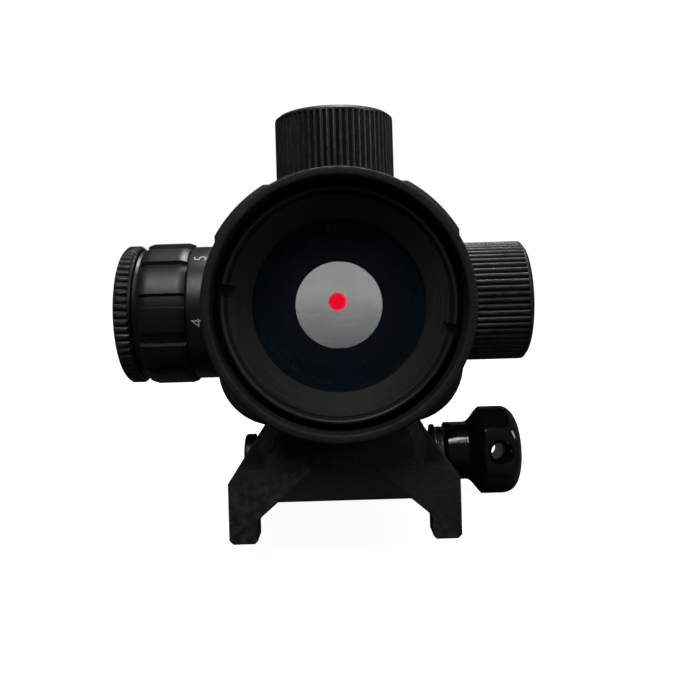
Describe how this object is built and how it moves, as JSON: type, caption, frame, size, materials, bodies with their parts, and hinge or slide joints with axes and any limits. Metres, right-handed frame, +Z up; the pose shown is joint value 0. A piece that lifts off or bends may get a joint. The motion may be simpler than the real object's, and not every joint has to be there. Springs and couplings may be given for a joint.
{
  "type": "red dot finder",
  "caption": "Tube-shaped red dot sight with two capped adjustment turrets, a side brightness dial over the battery, and a base that clamps to a cross-slot rail.",
  "frame": {"origin": "centre of the flat that rests on the rail, in the plane of the turrets", "axes": "+Z up through the elevation turret, +Y from the eyepiece towards the target, +X to the user's right"},
  "size_m": [0.0697, 0.111, 0.0665],
  "materials": {
    "cast_black": "matt textured black finish on a die casting",
    "anodised_black": "satin black anodised, worn lighter on the edges",
    "gloss_black": "gloss black enamel",
    "black_steel": "black oxide",
    "bright_steel": "bright, lightly oiled",
    "brass": "turned",
    "rubber": "smooth seal rubber",
    "plastic": "moulded, matt",
    "coated_glass": "clear with a faint blue coating",
    "circuit_board": "solder mask over glass fibre",
    "flex_film": "amber film",
    "led_red": "red emitter"
  },
  "bodies": {
    "chassis": {"main_body": "cast_black", "ocular_housing": "cast_black", "ocular_retaining_ring": "anodised_black", "ocular_lens": "coated_glass", "ocular_oring": "rubber", "objective_housing": "cast_black", "objective_oring": "rubber", "return_spring": "bright_steel", "flex_circuit": "flex_film", "elevation_turret_base": "brass", "windage_turret_base": "brass", "switch_housing": "plastic", "switch_screw_1": "black_steel", "switch_screw_2": "black_steel", "switch_board": "circuit_board", "detent_ball": "bright_steel", "detent_spring": "bright_steel", "rail_base": "cast_black", "base_screw_1": "black_steel", "base_screw_2": "black_steel", "clamp_bolt": "black_steel"},
    "gimbal": {"pivot_ring": "brass"},
    "inner_tube": {"inner_tube": "anodised_black", "reflector_lens_rear": "coated_glass", "reflector_lens_front": "coated_glass", "reflector_retaining_ring": "anodised_black", "led_mount": "plastic", "led_chip": "led_red"},
    "elevation_dial": {"elevation_dial": "anodised_black", "elevation_click_spring": "bright_steel"},
    "elevation_screw": {"elevation_adjusting_screw": "bright_steel"},
    "windage_dial": {"windage_dial": "anodised_black", "windage_click_spring": "bright_steel"},
    "windage_screw": {"windage_adjusting_screw": "bright_steel"},
    "elevation_cap_seal": {"elevation_cap_oring": "rubber"},
    "elevation_cap": {"elevation_cap": "anodised_black"},
    "windage_cap_seal": {"windage_cap_oring": "rubber"},
    "windage_cap": {"windage_cap": "anodised_black"},
    "brightness_dial": {"brightness_dial": "anodised_black", "switch_wiper": "brass", "contact_pin": "brass", "battery": "bright_steel"},
    "battery_cap_seal": {"battery_cap_oring": "rubber"},
    "battery_cap": {"battery_cap": "anodised_black", "battery_spring": "bright_steel"},
    "clamp_jaw": {"clamp_jaw": "cast_black"},
    "clamp_washers": {"flat_washer": "bright_steel", "lock_washer": "bright_steel"},
    "thumb_nut": {"thumb_nut": "gloss_black"}
  },
  "joints": [
    {"name": "windage_dial_turn", "type": "hinge", "parent": "chassis", "child": "windage_dial", "pos_m": [0, 0, 0.02475], "axis": [1, 0, 0], "range_deg": [-252, 252]},
    {"name": "windage_screw_travel", "type": "slide", "parent": "chassis", "child": "windage_screw", "axis": [1, 0, 0], "range_m": [-0.00035, 0.00035]},
    {"name": "inner_tube_yaw", "type": "hinge", "parent": "chassis", "child": "gimbal", "pos_m": [0, 0.05, 0.02475], "axis": [0, 0, 1], "range_deg": [-0.40107, 0.40107]},
    {"name": "elevation_dial_turn", "type": "hinge", "parent": "chassis", "child": "elevation_dial", "pos_m": [0, 0, 0.02475], "axis": [0, 0, 1], "range_deg": [-252, 252]},
    {"name": "elevation_screw_travel", "type": "slide", "parent": "chassis", "child": "elevation_screw", "axis": [0, 0, 1], "range_m": [-0.00035, 0.00035]},
    {"name": "inner_tube_pitch", "type": "hinge", "parent": "gimbal", "child": "inner_tube", "pos_m": [0, 0.05, 0.02475], "axis": [1, 0, 0], "range_deg": [-0.40107, 0.40107]},
    {"name": "elevation_cap_lift", "type": "slide", "parent": "chassis", "child": "elevation_cap_seal", "axis": [0, 0, 1], "range_m": [0, 0.005]},
    {"name": "elevation_cap_turn", "type": "hinge", "parent": "elevation_cap_seal", "child": "elevation_cap", "pos_m": [0, 0, 0.02475], "axis": [0, 0, 1], "range_deg": [0, 1800]},
    {"name": "windage_cap_lift", "type": "slide", "parent": "chassis", "child": "windage_cap_seal", "axis": [1, 0, 0], "range_m": [0, 0.005]},
    {"name": "windage_cap_turn", "type": "hinge", "parent": "windage_cap_seal", "child": "windage_cap", "pos_m": [0, 0, 0.02475], "axis": [1, 0, 0], "range_deg": [0, 1800]},
    {"name": "brightness_turn", "type": "hinge", "parent": "chassis", "child": "brightness_dial", "pos_m": [0, 0, 0.02415], "axis": [-1, 0, 0], "range_deg": [-60, 240]},
    {"name": "battery_cap_lift", "type": "slide", "parent": "brightness_dial", "child": "battery_cap_seal", "axis": [-1, 0, 0], "range_m": [0, 0.003]},
    {"name": "battery_cap_turn", "type": "hinge", "parent": "battery_cap_seal", "child": "battery_cap", "pos_m": [0, 0, 0.02415], "axis": [-1, 0, 0], "range_deg": [0, 1440]},
    {"name": "clamp_washers_slide", "type": "slide", "parent": "chassis", "child": "clamp_washers", "axis": [1, 0, 0], "range_m": [0, 0.003]},
    {"name": "thumb_nut_turn", "type": "hinge", "parent": "clamp_washers", "child": "thumb_nut", "pos_m": [0, -0.004, -0.001], "axis": [1, 0, 0], "range_deg": [0, 1350]},
    {"name": "clamp_jaw_slide", "type": "slide", "parent": "chassis", "child": "clamp_jaw", "axis": [1, 0, 0], "range_m": [0, 0.003]}
  ],
  "couplings": [
    {"joint": "windage_dial_turn", "follows": "windage_screw_travel", "rad_per_m": 12566},
    {"joint": "elevation_dial_turn", "follows": "elevation_screw_travel", "rad_per_m": 12566},
    {"joint": "inner_tube_yaw", "follows": "windage_screw_travel", "rad_per_m": 20},
    {"joint": "inner_tube_pitch", "follows": "elevation_screw_travel", "rad_per_m": -20},
    {"joint": "elevation_cap_turn", "follows": "elevation_cap_lift", "rad_per_m": 6283.2},
    {"joint": "windage_cap_turn", "follows": "windage_cap_lift", "rad_per_m": 6283.2},
    {"joint": "battery_cap_turn", "follows": "battery_cap_lift", "rad_per_m": 8377.6},
    {"joint": "clamp_washers_slide", "follows": "clamp_jaw_slide", "ratio": 1},
    {"joint": "thumb_nut_turn", "follows": "clamp_jaw_slide", "rad_per_m": 7854}
  ]
}
